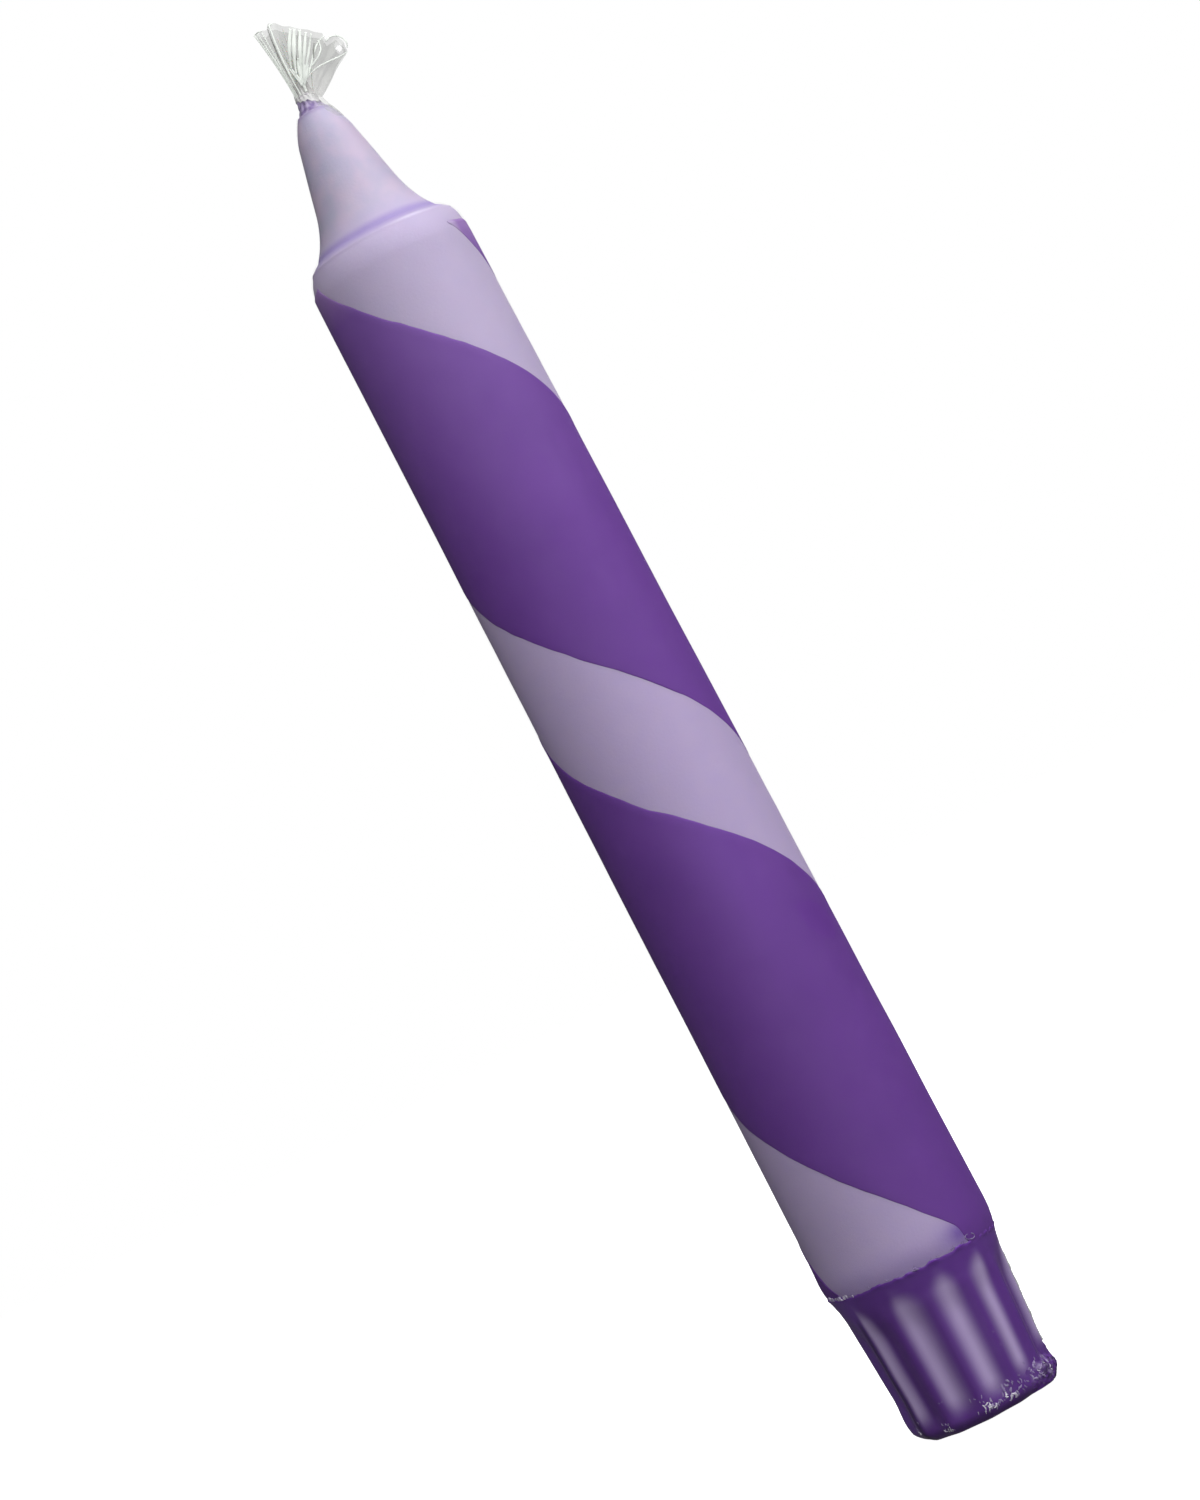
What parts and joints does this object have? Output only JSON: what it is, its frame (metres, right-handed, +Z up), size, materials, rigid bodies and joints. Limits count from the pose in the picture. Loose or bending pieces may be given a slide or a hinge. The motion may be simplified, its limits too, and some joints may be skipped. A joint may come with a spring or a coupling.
{
  "type": "taper candle",
  "caption": "Tapered dinner candle with a left-handed bicolour spiral, a milled tip, a fluted foot for a holder cup and a clear film wrap gathered over the wick.",
  "frame": {"origin": "centre of the base, on the surface that the candle stands on", "axes": "+Z up along the candle's axis, the pictured side faces -Y, and the gathered film leans towards +X"},
  "size_m": [0.023, 0.023, 0.1922],
  "materials": {
    "lilac_wax": "satin through-coloured wax",
    "purple_wax": "satin dark purple wax coat",
    "dark_wax": "glossy dark purple dip",
    "cotton": "twisted bleached cotton",
    "clear_film": "clear crinkled film"
  },
  "bodies": {
    "root": {"wax_body": "lilac_wax", "spiral_coat": "purple_wax", "foot_coat": "dark_wax", "wick_ply_1": "cotton", "wick_ply_2": "cotton", "wick_ply_3": "cotton", "wick_collar": "purple_wax", "film_sleeve": "clear_film", "film_tuft": "clear_film"}
  },
  "joints": []
}
